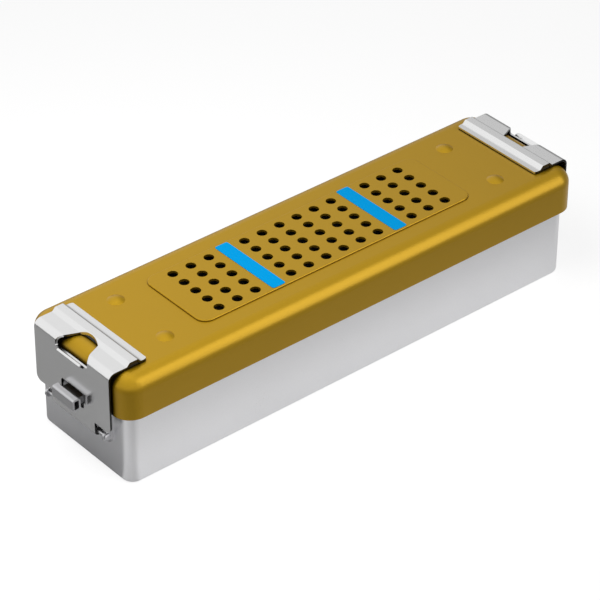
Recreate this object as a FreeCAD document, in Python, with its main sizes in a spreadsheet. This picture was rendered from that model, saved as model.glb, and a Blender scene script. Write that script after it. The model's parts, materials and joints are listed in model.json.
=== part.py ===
"""Small sterilization container: a drawn aluminium tub, a perforated anodised lid with its
filter holder, and a hinged steel latch at each end.

Frame: +X runs along the container, -Y is the front long side, +Z is up. The origin is the
middle of the footprint, on the surface that the tub stands on. All sizes are in millimetres.
The pieces of the right end are drawn once at +X, and the left end repeats them turned half
a turn about Z.
"""
import FreeCAD, Part
import os
import Sketcher

Vector = FreeCAD.Vector

# Every size that can be chosen by itself: alias, number, what it measures.
SIZES = [
    # Tub
    ("tub_length", 253.0, "outside length of the tub"),
    ("tub_width", 63.7, "outside width of the tub"),
    ("tub_height", 49.5, "height of the rim that the gasket seals on"),
    ("tub_wall", 1.5, "sheet of the tub"),
    ("tub_corner_radius", 5.7, "upright outer corners of the tub"),
    ("tub_foot_radius", 2.0, "rounding from the tub's walls into its floor"),
    ("rim_gap", 0.7, "folded rim to the inside of the lid's skirt"),
    ("rim_depth", 3.2, "height of the folded rim"),
    ("rim_round", 0.55, "rounding of the folded rim"),
    # Lid
    ("skirt_gap", 2.1, "gap from the tub's wall to the inside of the lid's skirt"),
    ("lid_wall", 1.2, "sheet of the lid"),
    ("lid_height", 20.0, "from the skirt's lower edge to the lid's top"),
    ("lid_corner_radius", 9.0, "upright outer corners of the lid"),
    ("lid_edge_radius", 7.0, "rounding from the lid's top into its skirt"),
    ("panel_end_margin", 52.1, "lid's end to the raised field that carries the vents"),
    ("panel_corner_radius", 5.5, "corners of the raised field"),
    ("panel_rise", 0.8, "how far the field is pressed up"),
    ("panel_step_radius", 0.5, "rounding of the field's step"),
    ("nub_end_margin", 34.8, "lid's end to the middle of a pressed nub"),
    ("nub_side_margin", 18.05, "lid's long side to the middle of a pressed nub"),
    ("nub_diameter", 8.0, "pressed nub at its foot"),
    ("nub_height", 1.3, "round crown of the nub above the lid"),
    # Vents
    ("vent_diameter", 4.8, "one vent hole"),
    ("vent_pitch_x", 10.0, "between columns of vents"),
    ("vent_pitch_y", 8.0, "between rows of vents"),
    ("vent_end_margin", 10.0, "least from a vent's edge to the end of the raised field"),
    ("vent_side_margin", 2.6, "least from a vent's edge to the side of the raised field"),
    ("middle_columns", 6, "columns of vents between the two bars"),
    # Gasket and its channel
    ("seal_gap", 0.3, "relaxed gasket above the rim"),
    ("gasket_height", 4.7, "gasket from sealing face to back"),
    ("gasket_side_gap", 1.1, "gasket to the inside of the lid's skirt"),
    ("gasket_back_ease", 1.6, "how much tighter the gasket's back is than the lid's bend"),
    ("gasket_seat_gap", 0.5, "gasket below the lid's sheet"),
    ("seal_groove_width", 1.4, "groove between the gasket's two lips"),
    ("seal_groove_depth", 1.0, "depth of that groove"),
    ("channel_gap", 2.2, "channel to the inside of the tub's wall"),
    ("channel_wall", 1.0, "sheet of the gasket channel"),
    ("channel_flange", 4.0, "channel's flat flange under the lid"),
    ("gasket_proud", 1.2, "gasket's sealing face below the channel's leg"),
    # Filter holder
    ("tray_gap", 1.65, "tray's rim to the channel's flange"),
    ("tray_margin", 1.3, "tray's rim outside the raised field's edge"),
    ("tray_wall", 1.0, "sheet of the filter tray"),
    ("tray_depth", 2.4, "from the lid's underside to the tray's floor"),
    ("filter_thickness", 0.5, "filter sheet"),
    ("filter_gap", 0.2, "filter's edge to the tray's rim"),
    ("tray_slot_width", 5.6, "slots in the tray's floor, one under each row of vents"),
    ("tray_slot_flat", 0.5, "straight part at each side of a slot's end"),
    # Marker bars that clamp the tray
    ("bar_end_margin", 0.9, "bar's end to the side of the raised field"),
    ("bar_width", 7.0, "bar along the lid"),
    ("bar_corner_radius", 1.0, "corners of the bar"),
    ("bar_proud", 0.15, "bar above the raised field"),
    ("bar_fit", 0.06, "bar's side to its slot"),
    ("bar_shoulder", 1.7, "shoulder under the slot's long edges"),
    ("bar_shoulder_height", 1.0, "height of that shoulder"),
    ("bar_shoulder_inset", 0.8, "shoulder short of the bar's ends"),
    ("post_diameter", 4.0, "posts under the bar"),
    ("post_spacing", 20.0, "between the two posts of a bar"),
    ("post_fit", 0.2, "post to the holes it passes"),
    ("post_tail", 0.7, "post below its nut"),
    ("nut_diameter", 8.0, "push-on nut"),
    ("nut_height", 0.8, "push-on nut"),
    ("nut_fit", 0.02, "nut's bore to the post"),
    # Hinge leaf
    ("leaf_sheet", 0.9, "sheet of the hinge leaf"),
    ("leaf_width", 41.4, "leaf across the tub's end, over its ears"),
    ("leaf_head", 1.3, "upper edge of the leaf below the top of the loop"),
    ("leaf_foot", 4.95, "lower edge of the leaf below the hinge axis"),
    ("leaf_corner_radius", 2.5, "lower corners of the leaf"),
    ("ear_radius", 2.1, "round end of each ear"),
    ("ear_web", 3.0, "extra height of the ear at its root"),
    ("pin_diameter", 2.0, "hinge pin"),
    ("pin_drop", 8.45, "hinge axis below the underside of the loop"),
    ("pin_fit", 0.03, "pin in its ears"),
    ("pin_head_diameter", 3.1, "head at each end of the pin"),
    ("pin_head_height", 0.9, "thickness of that head"),
    ("pin_float", 0.1, "head to ear"),
    ("rivet_diameter", 2.4, "rivets of the leaf"),
    ("rivet_spacing", 29.0, "between the two rivets of a leaf"),
    ("rivet_drop", 3.5, "rivets below the leaf's upper edge"),
    ("rivet_fit", 0.03, "rivet in its holes"),
    ("rivet_head_diameter", 4.4, "rivet's heads"),
    ("rivet_head_height", 0.8, "rivet's heads"),
    # Seal loop
    ("loop_width", 14.8, "loop across the tub's end"),
    ("loop_depth", 4.1, "loop, front to back"),
    ("loop_height", 6.0, "loop, bottom to top"),
    ("loop_sheet", 0.9, "strip of the loop"),
    ("loop_bend_radius", 1.3, "outer corners of the loop"),
    ("loop_rise", 0.1, "top of the loop above the skirt's edge, outside the skirt"),
    ("loop_reach", 5.4, "loop in front of the latch"),
    ("stem_width", 11.0, "stem that carries the loop"),
    ("stem_height", 3.6, "stem that carries the loop"),
    # Latch
    ("latch_sheet", 1.0, "sheet of the latch"),
    ("latch_width", 52.2, "latch across the lid"),
    ("latch_end_gap", 0.9, "least gap from the latch to the lid's end"),
    ("knuckle_gap", 0.2, "least gap from the rolled knuckle to the leaf"),
    ("latch_top_gap", 0.35, "latch above the lid's top"),
    ("wing_drop", 3.3, "lower edge of the latch's wings below the loop"),
    ("latch_corner_radius", 3.0, "lower corners of the wings"),
    ("bend_radius", 4.0, "inside of the bend over the lid's edge"),
    ("bead_setback", 10.6, "latch's face to the foot of its bead"),
    ("bead_width", 7.6, "bead from foot to foot"),
    ("bead_rise", 1.6, "height of the bead"),
    ("bead_flank", 47.0, "slope of the bead's flanks, degrees"),
    ("bead_outer_round", 0.9, "crown and feet of the bead, outside"),
    ("bead_inner_round", 0.4, "the same bends, inside"),
    ("lip_length", 1.3, "flat lip past the bead"),
    ("lip_corner_radius", 0.9, "corners of the lip"),
    ("knuckle_width", 30.0, "rolled knuckle"),
    ("knuckle_fit", 0.05, "pin in the knuckle"),
    ("roll_gap", 0.4, "open seam of the rolled knuckle"),
    ("window_side_gap", 0.5, "window beside the loop"),
    ("window_top_gap", 1.6, "window above the loop"),
    ("window_bottom_gap", 0.5, "window below the loop"),
    ("window_corner_radius", 1.5, "corners of the window"),
    ("thumb_mouth", 22.6, "thumb cut-out at the latch's face"),
    ("thumb_neck", 12.4, "thumb cut-out at the foot of the bead"),
    ("thumb_sag", 1.5, "how far its round end bites into the bead"),
    ("thumb_drop", 4.7, "its straight edge below the latch's top"),
    ("thumb_corner_radius", 0.6, "corners of its straight edge"),
    ("thumb_lip_width", 17.0, "flared lip under the thumb cut-out"),
    ("thumb_lip_reach", 2.2, "how far it stands out from the latch's face"),
    ("thumb_lip_drop", 1.5, "its root below the cut-out's straight edge"),
    ("thumb_lip_corner", 2.0, "rounding of its two ends"),
    # Pressure pad in the bead
    ("pad_side_gap", 0.18, "silicone strip to the bead's flanks"),
    ("pad_end_gap", 0.3, "strip short of the bead's ends"),
    ("pad_lid_gap", 0.35, "relaxed strip above the lid"),
    ("pad_round", 0.25, "rounding of the strip's lower edges"),
]

document = FreeCAD.newDocument("sterilization_container")
sheet = document.addObject("Spreadsheet::Sheet", "dims")
for row, (alias, number, meaning) in enumerate(SIZES, start=1):
    sheet.set("A%d" % row, meaning)
    sheet.set("B%d" % row, str(number))
    sheet.setAlias("B%d" % row, alias)
document.recompute()

# Sizes that follow from the sheet, kept as expressions so that the features stay bound to it.
TUB_HALF_X = "(dims.tub_length / 2)"
TUB_HALF_Y = "(dims.tub_width / 2)"
LID_HALF_X = "(dims.tub_length / 2 + dims.skirt_gap + dims.lid_wall)"
LID_HALF_Y = "(dims.tub_width / 2 + dims.skirt_gap + dims.lid_wall)"
GASKET_BOTTOM = "(dims.tub_height + dims.seal_gap)"
LID_UNDERSIDE = "(dims.tub_height + dims.seal_gap + dims.gasket_height + dims.gasket_seat_gap)"
LID_TOP = "(%s + dims.lid_wall)" % LID_UNDERSIDE
LID_BOTTOM = "(%s - dims.lid_height)" % LID_TOP
PANEL_TOP = "(%s + dims.panel_rise)" % LID_TOP
PANEL_UNDERSIDE = "(%s + dims.panel_rise)" % LID_UNDERSIDE
NUB_BALL = "((dims.nub_diameter ^ 2 / 4 + dims.nub_height ^ 2) / (2 * dims.nub_height))"
RIM_REACH = "(dims.skirt_gap - dims.rim_gap)"
CHANNEL_HALF_X = "(dims.tub_length / 2 - dims.tub_wall - dims.channel_gap)"
CHANNEL_HALF_Y = "(dims.tub_width / 2 - dims.tub_wall - dims.channel_gap)"
CHANNEL_RADIUS = "(dims.tub_corner_radius - dims.tub_wall - dims.channel_gap)"
PANEL_HALF_X = "(%s - dims.panel_end_margin)" % LID_HALF_X
PANEL_HALF_Y = ("(%s - dims.channel_flange - dims.tray_gap - dims.tray_margin)"
                % CHANNEL_HALF_Y)
TRAY_HALF_X = "(%s + dims.tray_margin)" % PANEL_HALF_X
TRAY_HALF_Y = "(%s + dims.tray_margin)" % PANEL_HALF_Y
TRAY_FLOOR = "(%s - dims.tray_depth)" % LID_UNDERSIDE
TRAY_BOTTOM = "(%s - dims.tray_wall)" % TRAY_FLOOR
BAR_X = "((dims.middle_columns + 1) / 2 * dims.vent_pitch_x)"
BAR_HALF_Y = "(%s - dims.bar_end_margin)" % PANEL_HALF_Y
VENT_ROWS = ("(floor(2 * (%s - dims.vent_side_margin - dims.vent_diameter / 2)"
             " / dims.vent_pitch_y) + 1)" % PANEL_HALF_Y)
OUTER_COLUMNS = ("floor((%s - %s - dims.vent_end_margin - dims.vent_diameter / 2)"
                 " / dims.vent_pitch_x)" % (PANEL_HALF_X, BAR_X))
LEAF_FACE = "(dims.tub_length / 2 + dims.leaf_sheet)"
KNUCKLE_RADIUS = "(dims.pin_diameter / 2 + dims.knuckle_fit + dims.latch_sheet)"
LATCH_FACE = ("max(%s + dims.latch_end_gap + dims.latch_sheet;"
              " %s + dims.knuckle_gap + 2 * %s)" % (LID_HALF_X, LEAF_FACE, KNUCKLE_RADIUS))
LATCH_TOP = "(%s + dims.latch_top_gap + dims.latch_sheet)" % LID_TOP
LOOP_FRONT = "(%s + dims.loop_reach)" % LATCH_FACE
LOOP_TOP = "(%s + dims.loop_rise)" % LID_BOTTOM
LOOP_BOTTOM = "(%s - dims.loop_height)" % LOOP_TOP
LOOP_MIDDLE = "(%s - dims.loop_height / 2)" % LOOP_TOP
PIN_X = "(%s - %s)" % (LATCH_FACE, KNUCKLE_RADIUS)
PIN_Z = "(%s - dims.pin_drop)" % LOOP_BOTTOM
LEAF_TOP = "(%s - dims.leaf_head)" % LOOP_TOP
LEAF_BOTTOM = "(%s - dims.leaf_foot)" % PIN_Z
RIVET_Z = "(%s - dims.rivet_drop)" % LEAF_TOP
WING_BOTTOM = "(%s - dims.wing_drop)" % LOOP_BOTTOM
BEAD_FOOT_OUT = "(%s - dims.bead_setback)" % LATCH_FACE
BEAD_FOOT_IN = "(%s - dims.bead_width)" % BEAD_FOOT_OUT
BEAD_RUN = "(dims.bead_rise / tan(dims.bead_flank * 1deg))"
BEAD_SHIFT = "(dims.latch_sheet * tan(dims.bead_flank * 0.5deg))"


def value(expression):
    """The present number of an expression over the sheet."""
    result = sheet.evalExpression(expression.replace("dims.", ""))
    return float(getattr(result, "Value", result))


def add_body(name):
    """A new sub-part whose label names its file."""
    body = document.addObject("PartDesign::Body", name)
    body.Label = name
    return body


def turn_to_end(body, side, along="0", across="0", up="0"):
    """Place a piece that was drawn for the right end, or turn it to the left end."""
    if side == "left":
        body.Placement = FreeCAD.Placement(Vector(), FreeCAD.Rotation(Vector(0, 0, 1), 180))
    sign = {"left": "-", "right": ""}[side]
    body.setExpression("Placement.Base.x", "%s(%s)" % (sign, along))
    body.setExpression("Placement.Base.y", across)
    body.setExpression("Placement.Base.z", up)


def add_sketch(body, name, plane, offset="0", along="0"):
    """A sketch on one of the body's own origin planes.

    offset moves it along that plane's normal, and along moves its origin along its own X.
    """
    sketch = body.newObject("Sketcher::SketchObject", name)
    support = [item for item in body.Origin.OriginFeatures if item.Role == plane][0]
    sketch.AttachmentSupport = [(support, "")]
    sketch.MapMode = "FlatFace"
    sketch.setExpression("AttachmentOffset.Base.x", along)
    sketch.setExpression("AttachmentOffset.Base.z", offset)
    document.recompute()
    return sketch


def bind(sketch, kind, *reference_and_expression):
    """Add one driving dimension to a sketch and bind it to the sheet."""
    *reference, expression = reference_and_expression
    index = sketch.addConstraint(Sketcher.Constraint(kind, *reference, value(expression)))
    sketch.setExpression("Constraints[%d]" % index, expression)


def pin_point(sketch, geometry, position, x, y):
    """Fix one point of a sketch by its two coordinates."""
    bind(sketch, "DistanceX", geometry, position, x)
    bind(sketch, "DistanceY", geometry, position, y)


def add_circle(sketch, x, y, radius):
    """A circle with its centre and radius bound to the sheet."""
    centre = Vector(value(x), value(y), 0)
    circle = sketch.addGeometry(Part.Circle(centre, Vector(0, 0, 1), value(radius)))
    pin_point(sketch, circle, 3, x, y)
    bind(sketch, "Radius", circle, radius)


def add_outline(sketch, corners, bows=None):
    """A closed outline through corners given as pairs of expressions.

    bows turns the side that starts at a corner into an arc: {corner number: (x, y) of a
    point halfway along it, radius}. The arc runs through that point.
    """
    bows = bows or {}
    points = [Vector(value(x), value(y), 0) for x, y in corners]
    sides = []
    for number, start in enumerate(points):
        end = points[(number + 1) % len(points)]
        if number in bows:
            (x, y), radius = bows[number]
            side = sketch.addGeometry(Part.Arc(start, Vector(value(x), value(y), 0), end))
            bind(sketch, "Radius", side, radius)
        else:
            side = sketch.addGeometry(Part.LineSegment(start, end))
        sides.append(side)
    for number, side in enumerate(sides):
        following = sides[(number + 1) % len(sides)]
        start_of_side = end_nearest(sketch, side, points[number])
        end_of_side = 3 - start_of_side
        end = points[(number + 1) % len(points)]
        start_of_following = end_nearest(sketch, following, end)
        sketch.addConstraint(
            Sketcher.Constraint("Coincident", side, end_of_side, following, start_of_following))
        pin_point(sketch, side, start_of_side, *corners[number])


def end_nearest(sketch, geometry, point):
    """1 or 2: the end of a line or arc that lies at a point."""
    return min((1, 2), key=lambda end: sketch.getPoint(geometry, end).distanceToPoint(point))


def add_rounded_rectangle(sketch, half_x, half_y, radius, centre=("0", "0")):
    """A rectangle with four equal round corners about a centre, all bound to the sheet."""
    half_x, half_y, radius = ("(%s)" % size for size in (half_x, half_y, radius))
    inner_x = value(half_x) - value(radius)
    inner_y = value(half_y) - value(radius)
    round_size = value(radius)
    middle = Vector(value(centre[0]), value(centre[1]), 0)
    quarter = 1.5707963267948966
    sides = []
    arcs = []
    for turn, (sx, sy) in enumerate([(1, -1), (1, 1), (-1, 1), (-1, -1)]):
        hub = middle + Vector(sx * inner_x, sy * inner_y, 0)
        before = [Vector(0, -1, 0), Vector(1, 0, 0), Vector(0, 1, 0), Vector(-1, 0, 0)][turn]
        previous_hub = middle + [Vector(-inner_x, -inner_y, 0), Vector(inner_x, -inner_y, 0),
                                 Vector(inner_x, inner_y, 0), Vector(-inner_x, inner_y, 0)][turn]
        sides.append(sketch.addGeometry(Part.LineSegment(previous_hub + before * round_size,
                                                         hub + before * round_size)))
        circle = Part.Circle(hub, Vector(0, 0, 1), round_size)
        arcs.append(sketch.addGeometry(
            Part.ArcOfCircle(circle, (turn - 1) * quarter, turn * quarter)))
    for turn in range(4):
        sketch.addConstraint(Sketcher.Constraint("Tangent", sides[turn], 2, arcs[turn], 1))
        sketch.addConstraint(
            Sketcher.Constraint("Tangent", arcs[turn], 2, sides[(turn + 1) % 4], 1))
        direction = ["Horizontal", "Vertical"][turn % 2]
        sketch.addConstraint(Sketcher.Constraint(direction, sides[turn]))
    for turn in range(1, 4):
        sketch.addConstraint(Sketcher.Constraint("Equal", arcs[0], arcs[turn]))
    bind(sketch, "Radius", arcs[0], radius)
    pin_point(sketch, arcs[1], 3, "%s + (%s - %s)" % (centre[0], half_x, radius),
              "%s + (%s - %s)" % (centre[1], half_y, radius))
    pin_point(sketch, arcs[3], 3, "%s - (%s - %s)" % (centre[0], half_x, radius),
              "%s - (%s - %s)" % (centre[1], half_y, radius))


def checked(feature, name):
    """Recompute and make sure that a feature really has a solid."""
    document.recompute()
    if feature.Shape.isNull() or not feature.Shape.isValid():
        raise RuntimeError("no valid shape: " + name)
    return feature


def add_pad(body, sketch, name, length, midplane=False, reverse=False):
    """Material from a sketch."""
    pad = body.newObject("PartDesign::Pad", name)
    pad.Profile = sketch
    pad.setExpression("Length", length)
    pad.Midplane = midplane
    pad.Reversed = reverse
    return checked(pad, name)


def add_pocket(body, sketch, name, length, midplane=False, reverse=False):
    """A cut from a sketch, which has to take material away."""
    before = body.Shape.Volume
    pocket = body.newObject("PartDesign::Pocket", name)
    pocket.Profile = sketch
    pocket.setExpression("Length", length)
    pocket.Midplane = midplane
    pocket.Reversed = reverse
    checked(pocket, name)
    if pocket.Shape.Volume > before - 1e-6:
        raise RuntimeError("cuts nothing: " + name)
    return pocket


def add_revolution(body, sketch, name, axis):
    """A turned piece about one axis of its sketch."""
    revolution = body.newObject("PartDesign::Revolution", name)
    revolution.Profile = sketch
    revolution.ReferenceAxis = (sketch, [axis])
    revolution.Angle = 360.0
    return checked(revolution, name)


def add_groove(body, sketch, name, axis):
    """A turned cut about one axis of its sketch, which has to take material away."""
    before = body.Shape.Volume
    groove = body.newObject("PartDesign::Groove", name)
    groove.Profile = sketch
    groove.ReferenceAxis = (sketch, [axis])
    groove.Angle = 360.0
    checked(groove, name)
    if groove.Shape.Volume > before - 1e-6:
        raise RuntimeError("cuts nothing: " + name)
    return groove


def add_mirror(body, features, name, plane):
    """The same features again on the other side of one of the body's origin planes."""
    mirror = body.newObject("PartDesign::Mirrored", name)
    mirror.Originals = features
    support = [item for item in body.Origin.OriginFeatures if item.Role == plane][0]
    mirror.MirrorPlane = (support, [""])
    body.Tip = mirror
    return checked(mirror, name)


def add_fillet(body, base, name, radius, edges):
    """Round the edges that pass a test of their middle, direction and shape."""
    names = edge_names(base.Shape, edges)
    if not names:
        raise RuntimeError("no edge to round: " + name)
    fillet = body.newObject("PartDesign::Fillet", name)
    fillet.Base = (base, names)
    fillet.setExpression("Radius", radius)
    return checked(fillet, name)


def edge_names(shape, test):
    """Names of the edges whose bounding box passes a test."""
    return ["Edge%d" % number for number, edge in enumerate(shape.Edges, start=1)
            if test(edge.BoundBox)]


def near(first, second):
    """True when two coordinates are the same."""
    return abs(first - second) < 1e-3


def upright(box):
    """True for a vertical edge."""
    return box.XLength < 1e-3 and box.YLength < 1e-3


def along_y(box):
    """True for an edge that runs straight across the container."""
    return box.XLength < 1e-3 and box.ZLength < 1e-3


def level_at(height):
    """A test for edges that lie flat at one height."""
    return lambda box: near(box.ZMin, height) and near(box.ZMax, height)


def hollow(body, base, name, thickness, open_height):
    """Shell a solid inwards, leaving the flat face at one height open."""
    faces = ["Face%d" % number for number, face in enumerate(base.Shape.Faces, start=1)
             if near(face.BoundBox.ZMin, open_height) and near(face.BoundBox.ZMax, open_height)]
    shell = body.newObject("PartDesign::Thickness", name)
    shell.Base = (base, faces)
    shell.setExpression("Value", thickness)
    shell.Reversed = True
    shell.Join = 0
    checked(shell, name)
    if shell.Shape.Volume > base.Shape.Volume:
        raise RuntimeError("shelled outwards: " + name)
    return shell


def make_base_tub():
    """A drawn tub with a folded rim and the holes of the leaf rivets."""
    body = add_body("base_tub")
    sketch = add_sketch(body, "tub_plan", "XY_Plane")
    add_rounded_rectangle(sketch, TUB_HALF_X, TUB_HALF_Y, "dims.tub_corner_radius")
    block = add_pad(body, sketch, "tub_block", "dims.tub_height")
    block = add_fillet(body, block, "tub_foot", "dims.tub_foot_radius", level_at(0.0))
    hollow(body, block, "tub_hollow", "dims.tub_wall", value("dims.tub_height"))
    rim = add_sketch(body, "rim_plan", "XY_Plane", "dims.tub_height - dims.rim_depth")
    add_rounded_rectangle(rim, "%s + %s" % (TUB_HALF_X, RIM_REACH),
                          "%s + %s" % (TUB_HALF_Y, RIM_REACH),
                          "dims.tub_corner_radius + " + RIM_REACH)
    add_rounded_rectangle(rim, TUB_HALF_X + " - dims.tub_wall / 2",
                          TUB_HALF_Y + " - dims.tub_wall / 2",
                          "dims.tub_corner_radius - dims.tub_wall / 2")
    folded = add_pad(body, rim, "rim", "dims.rim_depth")
    outer = value("%s + %s" % (TUB_HALF_X, RIM_REACH))
    lower = value("dims.tub_height - dims.rim_depth")
    upper = value("dims.tub_height")
    wide = 2 * value("%s - dims.tub_corner_radius" % TUB_HALF_Y)

    def rim_edge(box):
        """The rim's two outer loops, which run on tangentially from the end sides."""
        at_end = near(abs(box.XMin), outer) and near(box.XLength, 0) and near(box.YLength, wide)
        return at_end and (near(box.ZMin, lower) or near(box.ZMin, upper)) and box.ZLength < 1e-3

    add_fillet(body, folded, "rim_round", "dims.rim_round", rim_edge)
    holes = add_sketch(body, "rivet_holes_plan", "YZ_Plane")
    for sign in ("-", ""):
        add_circle(holes, sign + "dims.rivet_spacing / 2", RIVET_Z,
                   "dims.rivet_diameter / 2 + dims.rivet_fit")
    add_pocket(body, holes, "rivet_holes", "dims.tub_length + 2", midplane=True)
    return body


def make_lid_shell():
    """The drawn lid: skirt, raised field, nubs, vents and the slots of the two bars."""
    body = add_body("lid_shell")
    sketch = add_sketch(body, "lid_plan", "XY_Plane", LID_BOTTOM)
    add_rounded_rectangle(sketch, LID_HALF_X, LID_HALF_Y, "dims.lid_corner_radius")
    block = add_pad(body, sketch, "lid_block", "dims.lid_height")
    top = value(LID_TOP)
    block = add_fillet(body, block, "lid_edge", "dims.lid_edge_radius", level_at(top))
    hollow(body, block, "lid_hollow", "dims.lid_wall", value(LID_BOTTOM))

    field = add_sketch(body, "panel_plan", "XY_Plane", LID_TOP)
    add_rounded_rectangle(field, PANEL_HALF_X, PANEL_HALF_Y, "dims.panel_corner_radius")
    raised = add_pad(body, field, "panel", "dims.panel_rise")
    add_fillet(body, raised, "panel_step", "dims.panel_step_radius", level_at(value(PANEL_TOP)))
    recess = add_sketch(body, "panel_recess_plan", "XY_Plane", LID_UNDERSIDE)
    add_rounded_rectangle(recess, PANEL_HALF_X + " - dims.lid_wall",
                          PANEL_HALF_Y + " - dims.lid_wall",
                          "dims.panel_corner_radius - dims.lid_wall")
    add_pocket(body, recess, "panel_recess", "dims.panel_rise", reverse=True)

    press_nubs(body)
    slots = add_sketch(body, "bar_slots_plan", "XY_Plane", PANEL_TOP)
    for sign in ("-", ""):
        add_rounded_rectangle(slots, "(dims.bar_width / 2 + dims.bar_fit)",
                              "(%s + dims.bar_fit)" % BAR_HALF_Y,
                              "(dims.bar_corner_radius + dims.bar_fit)",
                              centre=(sign + BAR_X, "0"))
    add_pocket(body, slots, "bar_slots", "dims.lid_wall + 2 * dims.panel_rise")
    cut_vents(body)
    return body


def press_nubs(body):
    """Four round caps pressed up near the lid's corners, of the same sheet as the lid."""
    along = "(%s - dims.nub_end_margin)" % LID_HALF_X
    pressed = []
    for place, sign in (("front", ""), ("back", "-")):
        across = "%s(%s - dims.nub_side_margin)" % (sign, LID_HALF_Y)
        crown = add_sketch(body, "nub_%s_profile" % place, "XZ_Plane", across, along)
        add_cap(crown, LID_TOP, NUB_BALL)
        pressed.append(add_revolution(body, crown, "nub_" + place, "V_Axis"))
        dimple = add_sketch(body, "dimple_%s_profile" % place, "XZ_Plane", across, along)
        add_cap(dimple, LID_UNDERSIDE, "(%s - dims.lid_wall)" % NUB_BALL)
        pressed.append(add_groove(body, dimple, "dimple_" + place, "V_Axis"))
    add_mirror(body, pressed, "nubs_left", "YZ_Plane")


def add_cap(sketch, foot, ball):
    """Half the outline of a round cap, with half a sheet of material below its foot."""
    reach = "sqrt(2 * %s * dims.nub_height - dims.nub_height ^ 2)" % ball
    below = foot + " - dims.lid_wall / 2"
    halfway = "%s + dims.nub_height - %s + sqrt(%s ^ 2 - (%s / 2) ^ 2)" % (foot, ball, ball, reach)
    add_outline(sketch, [("0", below), (reach, below), (reach, foot),
                         ("0", foot + " + dims.nub_height")],
                bows={2: ((reach + " / 2", halfway), ball)})


def vent_groups():
    """The three groups of vents: name, place of the first column, number of columns."""
    return [
        ("left", "(-%s - %s * dims.vent_pitch_x)" % (BAR_X, OUTER_COLUMNS), OUTER_COLUMNS),
        ("middle", "(-%s + dims.vent_pitch_x)" % BAR_X, "dims.middle_columns"),
        ("right", "(%s + dims.vent_pitch_x)" % BAR_X, OUTER_COLUMNS),
    ]


def vent_row_places():
    """The height across the lid of each row of vents."""
    rows = round(value(VENT_ROWS))
    return ["((%d - (%s - 1) / 2) * dims.vent_pitch_y)" % (row, VENT_ROWS)
            for row in range(rows)]


def cut_vents(body):
    """Rows and columns of round vents, with a column left out for each bar.

    One column is cut first at the left end of each group and then repeated along X.
    """
    for group, first_column, columns in vent_groups():
        column = add_sketch(body, "vents_%s_plan" % group, "XY_Plane", PANEL_TOP)
        for y in vent_row_places():
            add_circle(column, first_column, y, "dims.vent_diameter / 2")
        cut = add_pocket(body, column, "vents_" + group, "dims.lid_wall + 2 * dims.panel_rise")
        pattern = body.newObject("PartDesign::LinearPattern", "vents_%s_row" % group)
        pattern.Originals = [cut]
        pattern.Direction = (column, ["H_Axis"])
        pattern.setExpression("Length", "(%s - 1) * dims.vent_pitch_x" % columns)
        pattern.setExpression("Occurrences", columns)
        body.Tip = pattern
        checked(pattern, "vents_" + group)


def make_seal_channel():
    """The angle ring under the lid that holds the gasket's inner side."""
    body = add_body("seal_channel")
    leg = add_sketch(body, "leg_plan", "XY_Plane", GASKET_BOTTOM + " + dims.gasket_proud")
    add_rounded_rectangle(leg, CHANNEL_HALF_X, CHANNEL_HALF_Y, CHANNEL_RADIUS)
    add_rounded_rectangle(leg, CHANNEL_HALF_X + " - dims.channel_wall",
                          CHANNEL_HALF_Y + " - dims.channel_wall",
                          CHANNEL_RADIUS + " - dims.channel_wall")
    add_pad(body, leg, "leg", "%s - %s - dims.gasket_proud" % (LID_UNDERSIDE, GASKET_BOTTOM))
    flange = add_sketch(body, "flange_plan", "XY_Plane", LID_UNDERSIDE)
    add_rounded_rectangle(flange, CHANNEL_HALF_X, CHANNEL_HALF_Y, CHANNEL_RADIUS)
    add_rounded_rectangle(flange, CHANNEL_HALF_X + " - dims.channel_flange",
                          CHANNEL_HALF_Y + " - dims.channel_flange", CHANNEL_RADIUS)
    add_pad(body, flange, "flange", "dims.channel_wall", reverse=True)
    return body


def make_lid_gasket():
    """The silicone ring above the rim: round back, and two lips on its sealing face."""
    body = add_body("lid_gasket")
    outer = "dims.skirt_gap - dims.gasket_side_gap"
    ring = add_sketch(body, "gasket_plan", "XY_Plane", GASKET_BOTTOM)
    add_rounded_rectangle(ring, "%s + %s" % (TUB_HALF_X, outer), "%s + %s" % (TUB_HALF_Y, outer),
                          "dims.lid_corner_radius - dims.lid_wall - dims.gasket_side_gap")
    add_rounded_rectangle(ring, CHANNEL_HALF_X, CHANNEL_HALF_Y, CHANNEL_RADIUS)
    block = add_pad(body, ring, "gasket_block", "dims.gasket_height")
    top = value(GASKET_BOTTOM + " + dims.gasket_height")
    reach = value("%s + %s" % (TUB_HALF_X, outer))
    add_fillet(body, block, "gasket_back",
               "dims.lid_edge_radius - dims.lid_wall - dims.gasket_back_ease",
               lambda box: level_at(top)(box) and near(abs(box.XMin), reach) and
               near(abs(box.XMax), reach))
    groove = add_sketch(body, "groove_plan", "XY_Plane", GASKET_BOTTOM)
    middle_x = "(%s - dims.tub_wall / 2)" % TUB_HALF_X
    middle_y = "(%s - dims.tub_wall / 2)" % TUB_HALF_Y
    middle_radius = "(dims.tub_corner_radius - dims.tub_wall / 2)"
    for sign in ("+", "-"):
        half_width = " %s dims.seal_groove_width / 2" % sign
        add_rounded_rectangle(groove, middle_x + half_width, middle_y + half_width,
                              middle_radius + half_width)
    add_pocket(body, groove, "groove", "dims.seal_groove_depth", reverse=True)
    return body


def post_places():
    """Where the four posts of the two bars pass, as pairs of expressions."""
    return [(along + BAR_X, across + "dims.post_spacing / 2")
            for along in ("-", "") for across in ("-", "")]


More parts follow.
